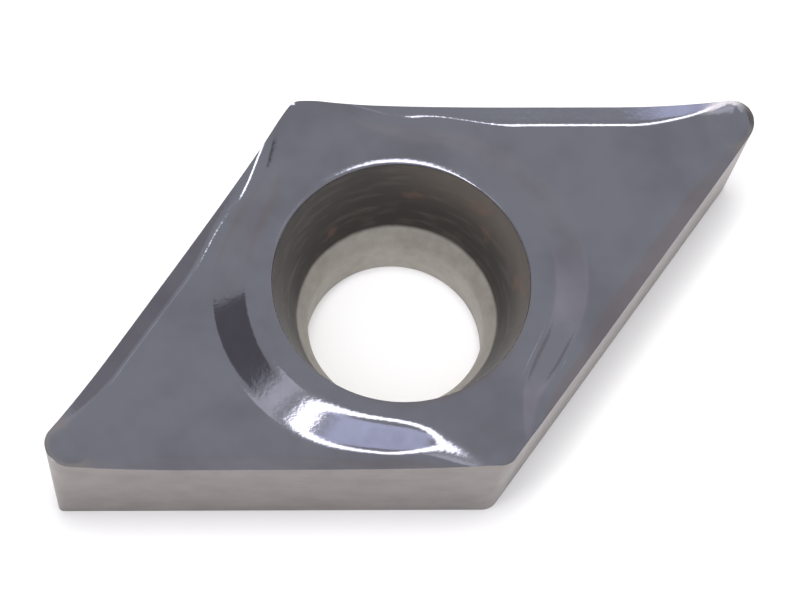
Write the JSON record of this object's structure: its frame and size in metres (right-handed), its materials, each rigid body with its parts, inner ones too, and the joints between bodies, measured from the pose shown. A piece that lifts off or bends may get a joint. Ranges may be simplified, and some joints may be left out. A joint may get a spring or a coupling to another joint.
{
  "type": "carbide turning insert",
  "caption": "Rhombic 55 degree positive turning insert with a clamping-screw hole, hollowed rake faces, a raised plateau round the hole and waved sharp edges.",
  "frame": {"origin": "on the screw hole's axis, at the flat seating face", "axes": "+Z out of the seating face through the cutting side, +X along the long diagonal to one acute nose, +Y along the short diagonal"},
  "size_m": [0.0192, 0.0106, 0.0039],
  "materials": {
    "carbide": "polished grey top, fine ground flanks, dull bore"
  },
  "bodies": {
    "root": {"insert_body": "carbide"}
  },
  "joints": []
}
